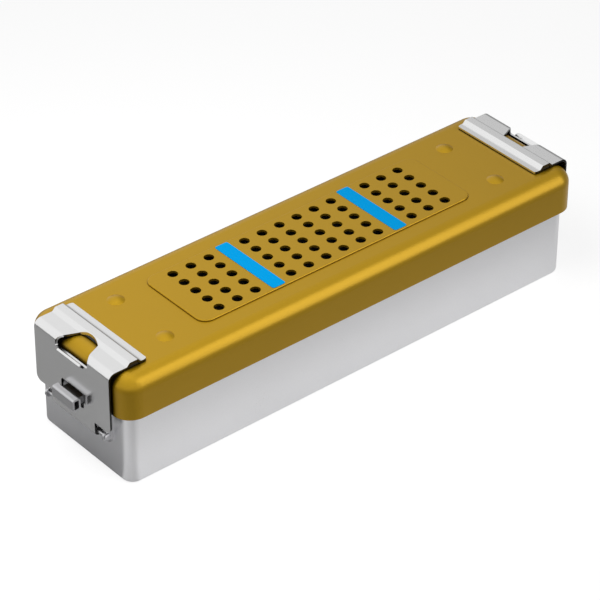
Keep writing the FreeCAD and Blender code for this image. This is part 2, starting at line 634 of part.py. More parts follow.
def make_filter_tray():
    """The perforated tray that carries the filter under the raised field."""
    body = add_body("filter_tray")
    plan = add_sketch(body, "tray_plan", "XY_Plane", TRAY_BOTTOM)
    radius = "(dims.panel_corner_radius + dims.tray_margin)"
    add_rounded_rectangle(plan, TRAY_HALF_X, TRAY_HALF_Y, radius)
    add_pad(body, plan, "tray_block", "dims.tray_depth + dims.tray_wall")
    inside = add_sketch(body, "tray_inside_plan", "XY_Plane", LID_UNDERSIDE)
    add_rounded_rectangle(inside, TRAY_HALF_X + " - dims.tray_wall",
                          TRAY_HALF_Y + " - dims.tray_wall", radius + " - dims.tray_wall")
    add_pocket(body, inside, "tray_inside", "dims.tray_depth")
    posts = add_sketch(body, "tray_posts_plan", "XY_Plane", TRAY_FLOOR)
    for x, y in post_places():
        add_circle(posts, x, y, "dims.post_diameter / 2 + dims.post_fit")
    add_pocket(body, posts, "tray_posts", "dims.tray_wall * 2")
    slots = add_sketch(body, "tray_slots_plan", "XY_Plane", TRAY_FLOOR)
    for group, first_column, columns in vent_groups():
        half_run = "((%s - 1) / 2 * dims.vent_pitch_x)" % columns
        for y in vent_row_places():
            add_rounded_rectangle(slots, "%s + dims.tray_slot_width / 2" % half_run,
                                  "dims.tray_slot_width / 2",
                                  "dims.tray_slot_width / 2 - dims.tray_slot_flat",
                                  centre=("(%s + %s)" % (first_column, half_run), y))
    add_pocket(body, slots, "tray_slots", "dims.tray_wall * 2")
    return body


def make_filter_sheet():
    """The filter, flat on the tray's floor, with a hole for each post."""
    body = add_body("filter_sheet")
    plan = add_sketch(body, "filter_plan", "XY_Plane", TRAY_FLOOR)
    edge = " - dims.tray_wall - dims.filter_gap"
    add_rounded_rectangle(plan, TRAY_HALF_X + edge, TRAY_HALF_Y + edge,
                          "dims.panel_corner_radius + dims.tray_margin" + edge)
    for x, y in post_places():
        add_circle(plan, x, y, "dims.post_diameter / 2 + dims.post_fit")
    add_pad(body, plan, "filter", "dims.filter_thickness")
    return body


def make_marker_bar(side):
    """A moulded bar: its top fills the slot, a shoulder stays below, two posts clamp the tray."""
    body = add_body("marker_bar_" + side)
    turn_to_end(body, side, along=BAR_X)
    plan = add_sketch(body, "bar_plan", "XY_Plane", LID_UNDERSIDE)
    add_rounded_rectangle(plan, "dims.bar_width / 2", BAR_HALF_Y, "dims.bar_corner_radius")
    add_pad(body, plan, "bar_head", "dims.lid_wall + dims.panel_rise + dims.bar_proud")
    shoulder = add_sketch(body, "shoulder_plan", "XY_Plane", PANEL_UNDERSIDE)
    add_rounded_rectangle(shoulder, "(dims.bar_width / 2 + dims.bar_shoulder)",
                          "(%s - dims.bar_shoulder_inset)" % BAR_HALF_Y,
                          "dims.bar_corner_radius")
    add_pad(body, shoulder, "shoulder", "dims.bar_shoulder_height", reverse=True)
    posts = add_sketch(body, "posts_plan", "XY_Plane", PANEL_UNDERSIDE)
    for sign in ("-", ""):
        add_circle(posts, "0", sign + "dims.post_spacing / 2", "dims.post_diameter / 2")
    bottom = "(%s - dims.nut_height - dims.post_tail)" % TRAY_BOTTOM
    add_pad(body, posts, "posts", "%s - %s" % (PANEL_UNDERSIDE, bottom), reverse=True)
    return body


def make_bar_nut(side, place):
    """A push-on nut under the tray, on one post."""
    body = add_body("bar_nut_%s_%s" % (side, place))
    across = {"front": "-", "back": ""}[place] + "dims.post_spacing / 2"
    turn_to_end(body, side, along=BAR_X, across=across,
                up="%s - dims.nut_height" % TRAY_BOTTOM)
    plan = add_sketch(body, "nut_plan", "XY_Plane")
    add_circle(plan, "0", "0", "dims.nut_diameter / 2")
    add_circle(plan, "0", "0", "dims.post_diameter / 2 + dims.nut_fit")
    add_pad(body, plan, "nut", "dims.nut_height")
    return body


def make_hinge_leaf(side):
    """The fixed leaf on the tub's end, with an ear bent out at each side for the pin."""
    body = add_body("hinge_leaf_" + side)
    turn_to_end(body, side)
    half = "dims.leaf_width / 2"
    plan = add_sketch(body, "leaf_face_plan", "YZ_Plane", TUB_HALF_X)
    add_outline(plan, [("-" + half, LEAF_BOTTOM), (half, LEAF_BOTTOM),
                       (half, LEAF_TOP), ("-" + half, LEAF_TOP)])
    plate = add_pad(body, plan, "leaf_plate", "dims.leaf_sheet")
    bottom = value(LEAF_BOTTOM)
    plate = add_fillet(body, plate, "leaf_corners", "dims.leaf_corner_radius",
                       lambda box: box.XLength > 1e-3 and box.ZLength < 1e-3 and
                       box.YLength < 1e-3 and near(box.ZMin, bottom))
    profile = add_sketch(body, "ear_profile", "XZ_Plane", half + " - dims.leaf_sheet")
    root = "(%s + dims.leaf_sheet / 2)" % TUB_HALF_X
    low = "(%s - dims.ear_radius)" % PIN_Z
    high = "(%s + dims.ear_radius)" % PIN_Z
    add_outline(profile, [(root, low), (PIN_X, low), (PIN_X, high),
                          (root, high + " + dims.ear_web")])
    ear = add_pad(body, profile, "ear", "dims.leaf_sheet")
    end = add_sketch(body, "ear_end_profile", "XZ_Plane", half + " - dims.leaf_sheet")
    add_circle(end, PIN_X, PIN_Z, "dims.ear_radius")
    ear_end = add_pad(body, end, "ear_end", "dims.leaf_sheet")
    add_mirror(body, [ear, ear_end], "ears", "XZ_Plane")
    bore = add_sketch(body, "ear_bore_plan", "XZ_Plane")
    add_circle(bore, PIN_X, PIN_Z, "dims.pin_diameter / 2 + dims.pin_fit")
    add_pocket(body, bore, "ear_bores", "dims.leaf_width + 2", midplane=True)
    holes = add_sketch(body, "leaf_rivets_plan", "YZ_Plane", TUB_HALF_X)
    for sign in ("-", ""):
        add_circle(holes, sign + "dims.rivet_spacing / 2", RIVET_Z,
                   "dims.rivet_diameter / 2 + dims.rivet_fit")
    add_pocket(body, holes, "leaf_rivets", "dims.leaf_sheet", reverse=True)
    return body


def make_hinge_pin(side):
    """The hinge pin, turned with a head outside each ear."""
    body = add_body("hinge_pin_" + side)
    turn_to_end(body, side, along=PIN_X, up=PIN_Z)
    profile = add_sketch(body, "pin_profile", "XY_Plane")
    shoulder = "(dims.leaf_width / 2 + dims.pin_float)"
    end = "(%s + dims.pin_head_height)" % shoulder
    shank = "dims.pin_diameter / 2"
    head = "dims.pin_head_diameter / 2"
    crown = "(dims.pin_head_height / 2)"
    add_outline(profile, [
        ("0", "-" + end),
        (head + " - " + crown, "-" + end),
        (head, "-%s + %s" % (end, crown)),
        (head, "-" + shoulder),
        (shank, "-" + shoulder),
        (shank, shoulder),
        (head, shoulder),
        (head, "%s - %s" % (end, crown)),
        (head + " - " + crown, end),
        ("0", end),
    ])
    add_revolution(body, profile, "pin", "V_Axis")
    return body


def make_leaf_rivet(side, place):
    """A rivet through the leaf and the tub's wall, with a low head on each side."""
    body = add_body("leaf_rivet_%s_%s" % (side, place))
    across = {"front": "-", "back": ""}[place] + "dims.rivet_spacing / 2"
    turn_to_end(body, side, along=TUB_HALF_X, across=across, up=RIVET_Z)
    profile = add_sketch(body, "rivet_profile", "XY_Plane")
    shank = "dims.rivet_diameter / 2"
    head = "dims.rivet_head_diameter / 2"
    crown = "(dims.rivet_head_height * 0.6)"
    inner = "-dims.tub_wall"
    outer = "dims.leaf_sheet"
    add_outline(profile, [
        (inner + " - dims.rivet_head_height", "0"),
        (outer + " + dims.rivet_head_height", "0"),
        (outer + " + dims.rivet_head_height", head + " - " + crown),
        (outer + " + dims.rivet_head_height - " + crown, head),
        (outer, head),
        (outer, shank),
        (inner, shank),
        (inner, head),
        (inner + " - dims.rivet_head_height + " + crown, head),
        (inner + " - dims.rivet_head_height", head + " - " + crown),
    ])
    add_revolution(body, profile, "rivet", "H_Axis")
    return body


def make_seal_loop(side):
    """The strip loop that takes a seal through the latch's window, on a stem from the leaf."""
    body = add_body("seal_loop_" + side)
    turn_to_end(body, side)
    profile = add_sketch(body, "loop_profile", "XZ_Plane")
    centre = ("(%s - dims.loop_depth / 2)" % LOOP_FRONT, LOOP_MIDDLE)
    add_rounded_rectangle(profile, "dims.loop_depth / 2", "dims.loop_height / 2",
                          "dims.loop_bend_radius", centre=centre)
    add_rounded_rectangle(profile, "(dims.loop_depth / 2 - dims.loop_sheet)",
                          "(dims.loop_height / 2 - dims.loop_sheet)",
                          "(dims.loop_bend_radius - dims.loop_sheet)", centre=centre)
    add_pad(body, profile, "loop", "dims.loop_width", midplane=True)
    stem = add_sketch(body, "stem_profile", "XZ_Plane")
    back = "(%s - dims.loop_depth + dims.loop_sheet / 2)" % LOOP_FRONT
    low = "(%s - dims.stem_height / 2)" % LOOP_MIDDLE
    high = "(%s + dims.stem_height / 2)" % LOOP_MIDDLE
    add_outline(stem, [(LEAF_FACE, low), (back, low), (back, high), (LEAF_FACE, high)])
    add_pad(body, stem, "stem", "dims.stem_width", midplane=True)
    return body


def make_latch_plate(side):
    """The bent steel latch: rolled knuckle, window, thumb cut-out, bend, bead and lip."""
    body = add_body("latch_plate_" + side)
    turn_to_end(body, side)
    inner_face = "(%s - dims.latch_sheet)" % LATCH_FACE
    underside = "(%s - dims.latch_sheet)" % LATCH_TOP
    crown = "(%s + dims.bead_rise)" % LATCH_TOP
    crown_underside = "(%s - dims.latch_sheet)" % crown
    lip_end = "(%s - dims.lip_length)" % BEAD_FOOT_IN
    profile = add_sketch(body, "latch_profile", "XZ_Plane")
    add_outline(profile, [
        (LATCH_FACE, PIN_Z),
        (LATCH_FACE, LATCH_TOP),
        (BEAD_FOOT_OUT, LATCH_TOP),
        ("%s - %s" % (BEAD_FOOT_OUT, BEAD_RUN), crown),
        ("%s + %s" % (BEAD_FOOT_IN, BEAD_RUN), crown),
        (BEAD_FOOT_IN, LATCH_TOP),
        (lip_end, LATCH_TOP),
        (lip_end, underside),
        ("%s + %s" % (BEAD_FOOT_IN, BEAD_SHIFT), underside),
        ("%s + %s + %s" % (BEAD_FOOT_IN, BEAD_RUN, BEAD_SHIFT), crown_underside),
        ("%s - %s - %s" % (BEAD_FOOT_OUT, BEAD_RUN, BEAD_SHIFT), crown_underside),
        ("%s - %s" % (BEAD_FOOT_OUT, BEAD_SHIFT), underside),
        (inner_face, underside),
        (inner_face, PIN_Z),
    ])
    strip = add_pad(body, profile, "latch_strip", "dims.latch_width", midplane=True)

    face = value(LATCH_FACE)
    top = value(LATCH_TOP)
    sheet_size = value("dims.latch_sheet")
    strip = add_fillet(body, strip, "bend_inside", "dims.bend_radius",
                       lambda box: along_y(box) and near(box.XMin, face - sheet_size) and
                       near(box.ZMin, top - sheet_size))
    strip = add_fillet(body, strip, "bend_outside", "dims.bend_radius + dims.latch_sheet",
                       lambda box: along_y(box) and near(box.XMin, face) and near(box.ZMin, top))
    low_out = value(BEAD_FOOT_IN) - 1e-3
    high_out = value(BEAD_FOOT_OUT) + 1e-3
    crown_height = value(crown)

    def bead_edge(levels):
        """The bends of the bead on one side of the sheet."""
        return lambda box: (along_y(box) and low_out < box.XMin < high_out and
                            any(near(box.ZMin, level) for level in levels))

    strip = add_fillet(body, strip, "bead_outside", "dims.bead_outer_round",
                       bead_edge((top, crown_height)))
    strip = add_fillet(body, strip, "bead_inside", "dims.bead_inner_round",
                       bead_edge((top - sheet_size, crown_height - sheet_size)))
    lip_x = value(lip_end)
    strip = add_fillet(body, strip, "lip_corners", "dims.lip_corner_radius",
                       lambda box: upright(box) and near(box.XMin, lip_x))

    # The wings end above the hinge, and only the knuckle's tongue reaches the pin.
    wings = add_sketch(body, "wing_cuts_plan", "YZ_Plane", "%s + dims.latch_sheet" % LATCH_FACE)
    for sign in ("-", ""):
        inner_y = sign + "dims.knuckle_width / 2"
        outer_y = sign + "(dims.latch_width / 2 + dims.latch_sheet)"
        below = "(%s - dims.latch_sheet)" % PIN_Z
        add_outline(wings, [(inner_y, below), (outer_y, below), (outer_y, WING_BOTTOM),
                            (inner_y, WING_BOTTOM)])
    add_pocket(body, wings, "wing_cuts", "3 * dims.latch_sheet")
    side_y = value("dims.latch_width / 2")
    wing_z = value(WING_BOTTOM)
    add_fillet(body, body.Tip, "wing_corners", "dims.latch_corner_radius",
               lambda box: near(box.ZMin, wing_z) and near(box.ZMax, wing_z) and
               near(box.YLength, 0) and box.XLength > 1e-3 and near(abs(box.YMin), side_y))

    knuckle = add_sketch(body, "knuckle_profile", "XZ_Plane")
    add_circle(knuckle, PIN_X, PIN_Z, KNUCKLE_RADIUS)
    add_pad(body, knuckle, "knuckle", "dims.knuckle_width", midplane=True)
    bore = add_sketch(body, "knuckle_bore_profile", "XZ_Plane")
    add_circle(bore, PIN_X, PIN_Z, "dims.pin_diameter / 2 + dims.knuckle_fit")
    add_pocket(body, bore, "knuckle_bore", "dims.knuckle_width + 2", midplane=True)
    seam = add_sketch(body, "seam_profile", "XZ_Plane")
    seam_low = "(%s + dims.pin_diameter / 4)" % PIN_Z
    seam_high = "(%s + %s + dims.roll_gap)" % (PIN_Z, KNUCKLE_RADIUS)
    add_outline(seam, [("%s - dims.roll_gap" % inner_face, seam_low), (inner_face, seam_low),
                       (inner_face, seam_high), ("%s - dims.roll_gap" % inner_face, seam_high)])
    add_pocket(body, seam, "seam", "dims.knuckle_width + 2", midplane=True)

    window = add_sketch(body, "window_plan", "YZ_Plane", "%s + dims.latch_sheet" % LATCH_FACE)
    window_low = "(%s - dims.window_bottom_gap)" % LOOP_BOTTOM
    window_high = "(%s + dims.window_top_gap)" % LOOP_TOP
    add_rounded_rectangle(window, "(dims.loop_width / 2 + dims.window_side_gap)",
                          "((%s - %s) / 2)" % (window_high, window_low),
                          "dims.window_corner_radius",
                          centre=("0", "((%s + %s) / 2)" % (window_high, window_low)))
    add_pocket(body, window, "window", "3 * dims.latch_sheet")

    thumb = add_sketch(body, "thumb_plan", "XY_Plane", "%s + dims.latch_sheet" % crown)
    mouth_x = "(%s + dims.latch_sheet)" % LATCH_FACE
    neck = "(dims.thumb_neck / 2)"
    bow = "((%s ^ 2 + dims.thumb_sag ^ 2) / (2 * dims.thumb_sag))" % neck
    add_outline(thumb, [(mouth_x, "-dims.thumb_mouth / 2"), (mouth_x, "dims.thumb_mouth / 2"),
                        (LATCH_FACE, "dims.thumb_mouth / 2"), (BEAD_FOOT_OUT, neck),
                        (BEAD_FOOT_OUT, "-" + neck), (LATCH_FACE, "-dims.thumb_mouth / 2")],
                bows={3: ((BEAD_FOOT_OUT + " - dims.thumb_sag", "0"), bow)})
    add_pocket(body, thumb, "thumb_cut",
               "dims.latch_sheet + dims.bead_rise + dims.thumb_drop")
    cut_z = value("%s - dims.thumb_drop" % LATCH_TOP)
    mouth_y = value("dims.thumb_mouth / 2")
    add_fillet(body, body.Tip, "thumb_corners", "dims.thumb_corner_radius",
               lambda box: level_at(cut_z)(box) and box.XLength > 1e-3 and
               box.YLength < sheet_size and abs(box.YMin) > mouth_y / 2)

    # Under the cut-out a lip flares out at 45 degrees, so that a thumb can pull the latch open.
    lip = add_sketch(body, "thumb_lip_profile", "XZ_Plane")
    root = "(%s - dims.thumb_drop - dims.thumb_lip_drop)" % LATCH_TOP
    root_x = "(%s - dims.latch_sheet / 2)" % LATCH_FACE
    root_z = "(%s - dims.latch_sheet / 2)" % root
    edge_x = "(%s + dims.thumb_lip_reach)" % LATCH_FACE
    edge_z = "(%s + dims.thumb_lip_reach)" % root
    slant = "(dims.latch_sheet * sqrt(0.5))"
    add_outline(lip, [(root_x, root_z), (edge_x, edge_z),
                      ("%s - %s" % (edge_x, slant), "%s + %s" % (edge_z, slant)),
                      (root_x, "%s + 2 * %s" % (root_z, slant))])
    add_pad(body, lip, "thumb_lip", "dims.thumb_lip_width", midplane=True)
    edge_reach = value(edge_x)
    lip_y = value("dims.thumb_lip_width / 2")
    add_fillet(body, body.Tip, "thumb_lip_ends", "dims.thumb_lip_corner",
               lambda box: near(box.YLength, 0) and near(abs(box.YMin), lip_y) and
               near(box.XMax, edge_reach) and near(box.XLength, value(slant)))
    return body


def make_latch_pad(side):
    """The silicone strip that sits in the bead's hollow and presses on the lid."""
    body = add_body("latch_pad_" + side)
    turn_to_end(body, side)
    middle = "(%s - dims.bead_width / 2)" % BEAD_FOOT_OUT
    low = "(%s + dims.pad_lid_gap)" % LID_TOP
    high = "(%s + dims.bead_rise - dims.latch_sheet)" % LATCH_TOP
    top_half = "(dims.bead_width / 2 - %s - %s - dims.pad_side_gap)" % (BEAD_RUN, BEAD_SHIFT)
    low_half = "(%s + (%s - %s) / tan(dims.bead_flank * 1deg))" % (top_half, high, low)
    profile = add_sketch(body, "pad_profile", "XZ_Plane")
    add_outline(profile, [
        ("%s - %s" % (middle, low_half), low),
        ("%s + %s" % (middle, low_half), low),
        ("%s + %s" % (middle, top_half), high),
        ("%s - %s" % (middle, top_half), high),
    ])
    strip = add_pad(body, profile, "pad_strip", "dims.latch_width - 2 * dims.pad_end_gap",
                    midplane=True)
    low_z = value(low)
    add_fillet(body, strip, "pad_edges", "dims.pad_round",
               lambda box: along_y(box) and near(box.ZMin, low_z))
    return body


bodies = [
    make_base_tub(),
    make_lid_shell(),
    make_seal_channel(),
    make_lid_gasket(),
    make_filter_tray(),
    make_filter_sheet(),
]
for end in ("left", "right"):
    bodies.append(make_hinge_leaf(end))
    bodies.append(make_hinge_pin(end))
    bodies.append(make_seal_loop(end))
    bodies.append(make_latch_plate(end))
    bodies.append(make_latch_pad(end))
    bodies.append(make_marker_bar(end))
    for depth in ("front", "back"):
        bodies.append(make_leaf_rivet(end, depth))
        bodies.append(make_bar_nut(end, depth))

document.recompute()
for item in document.Objects:
    if "Invalid" in item.State or "Error" in item.State:
        raise RuntimeError("failed object: " + item.Name)
for body in bodies:
    if body.Shape.isNull() or not body.Shape.isValid() or len(body.Shape.Solids) != 1:
        raise RuntimeError("not one valid solid: " + body.Label)

os.makedirs("parts", exist_ok=True)
for body in bodies:
    body.Shape.exportStep(os.path.join("parts", body.Label + ".step"))
    box = body.Shape.BoundBox
    print("%-24s %9.1f mm3  x %8.2f..%8.2f  y %7.2f..%7.2f  z %6.2f..%6.2f" % (
        body.Label, body.Shape.Volume, box.XMin, box.XMax, box.YMin, box.YMax, box.ZMin, box.ZMax))
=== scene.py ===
"""Looks of the small sterilization container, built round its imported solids.

Metres, in the part's own frame: +X along the container, -Y out of the front, +Z up.
"""
import json
import math

import bmesh
import bpy
from mathutils import Matrix, Vector


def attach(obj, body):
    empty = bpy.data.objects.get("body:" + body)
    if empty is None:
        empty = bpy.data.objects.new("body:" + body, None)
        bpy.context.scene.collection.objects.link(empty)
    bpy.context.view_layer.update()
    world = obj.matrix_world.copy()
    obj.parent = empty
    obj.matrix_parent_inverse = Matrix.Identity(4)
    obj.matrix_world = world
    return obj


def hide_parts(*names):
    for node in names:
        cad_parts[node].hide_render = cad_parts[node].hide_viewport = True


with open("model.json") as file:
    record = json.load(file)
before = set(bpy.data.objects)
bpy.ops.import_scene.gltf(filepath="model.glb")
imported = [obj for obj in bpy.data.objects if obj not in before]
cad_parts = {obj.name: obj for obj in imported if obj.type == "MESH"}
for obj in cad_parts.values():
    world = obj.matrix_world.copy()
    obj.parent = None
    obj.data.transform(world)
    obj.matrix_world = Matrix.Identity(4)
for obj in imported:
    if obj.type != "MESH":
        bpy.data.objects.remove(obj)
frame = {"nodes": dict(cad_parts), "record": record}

MM = 0.001
WHITE = (1, 1, 1, 1)
END_SIGNS = {"left": -1, "right": 1}

# Camera, fitted to the edges of the box in the photograph.
PHOTO_WIDTH = 600
FOCAL_LENGTH = 2953.32
SENSOR_WIDTH = 36
CLIP_START, CLIP_END = 0.01, 20
CAMERA_PLACE = (-0.70136, -0.82210, 0.78437)
CAMERA_AZIMUTH, CAMERA_ELEVATION, CAMERA_ROLL = -0.701836, 0.614047, 0.005131

# Surface effects.
RELIEF_DEPTH = 0.2 * MM
BRUSH_STRETCH = 0.03
# Painted shade in narrow gaps and folds, from how little of the surround they see.
GAP_SHADE_SAMPLES = 12
GAP_SHADE_SPAN = 0.48
# Painted shade on the steel's cut faces, by how far their normals look along Y.
CUT_FACE_FROM, CUT_FACE_TO = 0.7, 0.95

# Latch sheet, in mm on the right end: along X, up Z. The old values are the solid's.
BEND_CENTRE = Vector((126.7, 52.55))
BEND_SHIFT = 1.5
BEAD_OLD = (113.5, 121.1)
BEAD_NEW = (114.7, 121.9)
LIP_OLD, LIP_NEW = 1.3, 3.3
SHEET_FACE, SHEET_SIDE = 131.75, 26.1
CORNER_OLD, CORNER_NEW = 0.9, 2.6
CORNER_SHARE = 0.29
CORNER_SLACK = 1.01
CUT_TOP, CUT_HALF = 53.6, 12.0
UNDER_FLANGE = 56.0

# Copies that stand for CAD nodes.
MERGE_DISTANCE = 1e-6
FLAT_ANGLE = math.radians(0.4)
SHARP_ANGLE = math.radians(32)
BEVEL_ANGLE = math.radians(40)
BEVEL_SEGMENTS = 2
SHEET_BEVEL, PAD_BEVEL, GASKET_BEVEL, FILTER_BEVEL = 0.12 * MM, 0.1 * MM, 0.15 * MM, 0.05 * MM

# How bright metal sees the surround, by its direction along X.
SURROUND = [(0.30, 1.0), (0.47, 0.92), (0.60, 0.66), (0.76, 0.30)]
# Painted reflection: the floor's glow as gloss sees it is darker where shade would fall on it.
# The same for the floor, by direction from the container's near front corner: 0 and 1 are to
# the left, 0.25 in front, 0.5 to the right and 0.75 behind.
FLOOR_SIDES = [(0.0, 0.42), (0.08, 0.36), (0.19, 0.32), (0.29, 0.60), (0.50, 0.60), (0.60, 0.20),
               (0.75, 0.07), (0.93, 0.07), (0.99, 0.42)]
FLOOR_CORNER = (0.121, 0.026, 0)
# The floor is darker for metal beyond these places in front of the box.
FAR_FRONT, NEAR_FRONT = -0.085, -0.045
FAR_FRONT_SHARE = 0.4
WORLD_FILL = 0.13
FLOOR_SIZE = 3.0
FLOOR_TONE = 0.38
FLOOR_GLOW = 0.8
FLOOR_ROUGHNESS = 0.9

nodes = frame["nodes"]
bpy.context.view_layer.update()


def add_object(name, data):
    """A new object in the scene, at the world's origin."""
    new = bpy.data.objects.new(name, data)
    bpy.context.scene.collection.objects.link(new)
    return new


def place_camera():
    """Put the camera where the photograph was taken from."""
    back = Vector((math.sin(CAMERA_AZIMUTH) * math.cos(CAMERA_ELEVATION),
                   -math.cos(CAMERA_AZIMUTH) * math.cos(CAMERA_ELEVATION),
                   math.sin(CAMERA_ELEVATION)))
    level_right = Vector((math.cos(CAMERA_AZIMUTH), math.sin(CAMERA_AZIMUTH), 0))
    level_up = back.cross(level_right)
    right = math.cos(CAMERA_ROLL) * level_right + math.sin(CAMERA_ROLL) * level_up
    up = math.cos(CAMERA_ROLL) * level_up - math.sin(CAMERA_ROLL) * level_right
    data = bpy.data.cameras.new("photo_camera")
    data.sensor_width = SENSOR_WIDTH
    data.lens = FOCAL_LENGTH / PHOTO_WIDTH * SENSOR_WIDTH
    data.clip_start = CLIP_START
    data.clip_end = CLIP_END
    camera = add_object("photo_camera", data)
    turn = Matrix((right, up, back)).transposed().to_4x4()
    camera.matrix_world = Matrix.Translation(CAMERA_PLACE) @ turn
    bpy.context.scene.camera = camera


# Node helpers.
def new_group(name, inputs, outputs):
    """A shader node group with named inputs and outputs, with its two end nodes."""
    group = bpy.data.node_groups.new(name, "ShaderNodeTree")
    for label, kind, default in inputs:
        socket = group.interface.new_socket(label, in_out="INPUT", socket_type=kind)
        socket.default_value = default
    for label, kind in outputs:
        group.interface.new_socket(label, in_out="OUTPUT", socket_type=kind)
    entry = group.nodes.new("NodeGroupInput")
    leave = group.nodes.new("NodeGroupOutput")
    return group, entry, leave


def add_node(tree, kind, values=None, **settings):
    """A node with its settings, and its input values by name or number."""
    node = tree.nodes.new(kind)
    for key, setting in settings.items():
        setattr(node, key, setting)
    for key, number in (values or {}).items():
        node.inputs[key].default_value = number
    return node


def math_node(tree, operation, first, second=0.0, clamp=False):
    """A Math node's result; each side is a number or a socket."""
    node = add_node(tree, "ShaderNodeMath", operation=operation, use_clamp=clamp)
    for index, side in enumerate((first, second)):
        if isinstance(side, (int, float)):
            node.inputs[index].default_value = side
        else:
            tree.links.new(side, node.inputs[index])
    return node.outputs[0]


def scaled(tree, tint, amount):
    """A colour times a grey amount."""
    scale = add_node(tree, "ShaderNodeVectorMath", operation="SCALE")
    tree.links.new(tint, scale.inputs[0])
    tree.links.new(amount, scale.inputs["Scale"])
    return scale.outputs["Vector"]


def add_ramp(tree, source, stops):
    """A grey ramp through (place, value) stops, read at a socket."""
    ramp = add_node(tree, "ShaderNodeValToRGB")
    ramp.color_ramp.interpolation = "EASE"
    points = ramp.color_ramp.elements
    while len(points) < len(stops):
        points.new(0.5)
    for point, (place, level) in zip(points, stops):
        point.position = place
        point.color = (level, level, level, 1)
    tree.links.new(source, ramp.inputs["Fac"])
    return ramp.outputs["Color"]


# Shared effects.
def vary(group, entry, leave, fine, broad):
    """Vary colour and roughness by two (noise, amount input) pairs; the fine one gives relief."""
    swings = []
    for noise, amount in (fine, broad):
        swing = math_node(group, "SUBTRACT", noise.outputs["Fac"], 0.5)
        swings.append(math_node(group, "MULTIPLY", swing, entry.outputs[amount]))
    both = math_node(group, "ADD", *swings)
    tint = scaled(group, entry.outputs["Colour"], math_node(group, "ADD", both, 1.0))
    rough = math_node(group, "ADD", entry.outputs["Roughness"], both, clamp=True)
    group.links.new(tint, leave.inputs["Colour"])
    group.links.new(rough, leave.inputs["Roughness"])
    group.links.new(fine[0].outputs["Fac"], leave.inputs["Height"])


FINISH_OUTPUTS = [("Colour", "NodeSocketColor"), ("Roughness", "NodeSocketFloat"),
                  ("Height", "NodeSocketFloat")]


def make_satin_group():
    """Fine blasted grain with faint clouds, as on anodised sheet."""
    group, entry, leave = new_group("satin_sheet", [
        ("Vector", "NodeSocketVector", (0, 0, 0)),
        ("Colour", "NodeSocketColor", (0.5, 0.5, 0.5, 1)),
        ("Grain Scale", "NodeSocketFloat", 2500.0),
        ("Grain Amount", "NodeSocketFloat", 0.08),
        ("Cloud Scale", "NodeSocketFloat", 25.0),
        ("Cloud Amount", "NodeSocketFloat", 0.06),
        ("Roughness", "NodeSocketFloat", 0.4),
    ], FINISH_OUTPUTS)
    grain = add_node(group, "ShaderNodeTexNoise", {"Detail": 2.0, "Roughness": 0.6})
    cloud = add_node(group, "ShaderNodeTexNoise", {"Detail": 4.0, "Roughness": 0.55})
    for noise, scale in ((grain, "Grain Scale"), (cloud, "Cloud Scale")):
        group.links.new(entry.outputs["Vector"], noise.inputs["Vector"])
        group.links.new(entry.outputs[scale], noise.inputs["Scale"])
    vary(group, entry, leave, (grain, "Grain Amount"), (cloud, "Cloud Amount"))
    return group


def make_brushed_group():
    """Fine brushing lines along Y with faint smudges."""
    group, entry, leave = new_group("brushed_sheet", [
        ("Vector", "NodeSocketVector", (0, 0, 0)),
        ("Colour", "NodeSocketColor", (0.6, 0.6, 0.6, 1)),
        ("Line Scale", "NodeSocketFloat", 1800.0),
        ("Line Amount", "NodeSocketFloat", 0.15),
        ("Smudge Scale", "NodeSocketFloat", 60.0),
        ("Smudge Amount", "NodeSocketFloat", 0.10),
        ("Roughness", "NodeSocketFloat", 0.3),
    ], FINISH_OUTPUTS)
    link = group.links.new
    stretch = add_node(group, "ShaderNodeMapping", {"Scale": (1.0, BRUSH_STRETCH, 1.0)})
    lines = add_node(group, "ShaderNodeTexNoise", {"Detail": 3.0, "Roughness": 0.7})
    smudge = add_node(group, "ShaderNodeTexNoise", {"Detail": 5.0})
    link(entry.outputs["Vector"], stretch.inputs["Vector"])
    link(stretch.outputs["Vector"], lines.inputs["Vector"])
    link(entry.outputs["Line Scale"], lines.inputs["Scale"])
    link(entry.outputs["Vector"], smudge.inputs["Vector"])
    link(entry.outputs["Smudge Scale"], smudge.inputs["Scale"])
    vary(group, entry, leave, (lines, "Line Amount"), (smudge, "Smudge Amount"))
    return group


def make_painted_gap_shade_group():
    """How far painted shade darkens a surface that lies in a narrow gap or fold."""
    group, entry, leave = new_group("painted_gap_shade", [
        ("Openness", "NodeSocketFloat", 1.0),
        ("Closed At", "NodeSocketFloat", 0.35),
        ("Open At", "NodeSocketFloat", 0.85),
        ("Darkest", "NodeSocketFloat", 0.05),
    ], [("Amount", "NodeSocketFloat")])
    spread = add_node(group, "ShaderNodeMapRange", {"To Max": 1.0},
                      interpolation_type="SMOOTHSTEP")
    for label, socket in (("Openness", "Value"), ("Closed At", "From Min"),
                          ("Open At", "From Max"), ("Darkest", "To Min")):
        group.links.new(entry.outputs[label], spread.inputs[socket])
    group.links.new(spread.outputs["Result"], leave.inputs["Amount"])
    return group


# Materials.
def painted_gap_shade_share(tree, gap, closed):
    """The share of a colour that painted shade leaves inside gaps of a given width."""
    openness = add_node(tree, "ShaderNodeAmbientOcclusion", {"Distance": gap},
                        samples=GAP_SHADE_SAMPLES)
    depth = add_node(tree, "ShaderNodeGroup", node_tree=painted_gap_shade)
    depth.inputs["Closed At"].default_value = closed
    depth.inputs["Open At"].default_value = closed + GAP_SHADE_SPAN
    tree.links.new(openness.outputs["AO"], depth.inputs["Openness"])
    return depth.outputs["Amount"]


def painted_cut_face_shade(tree, normal, share):
    """The share of a colour that painted shade leaves on a sheet's cut faces, which look along Y.
    """
    facing = add_node(tree, "ShaderNodeSeparateXYZ")
    tree.links.new(normal, facing.inputs[0])
    edge = add_node(tree, "ShaderNodeMapRange", {
        "From Min": CUT_FACE_FROM, "From Max": CUT_FACE_TO, "To Min": 1.0, "To Max": share})
    tree.links.new(math_node(tree, "ABSOLUTE", facing.outputs["Y"]), edge.inputs["Value"])
    return edge.outputs["Result"]


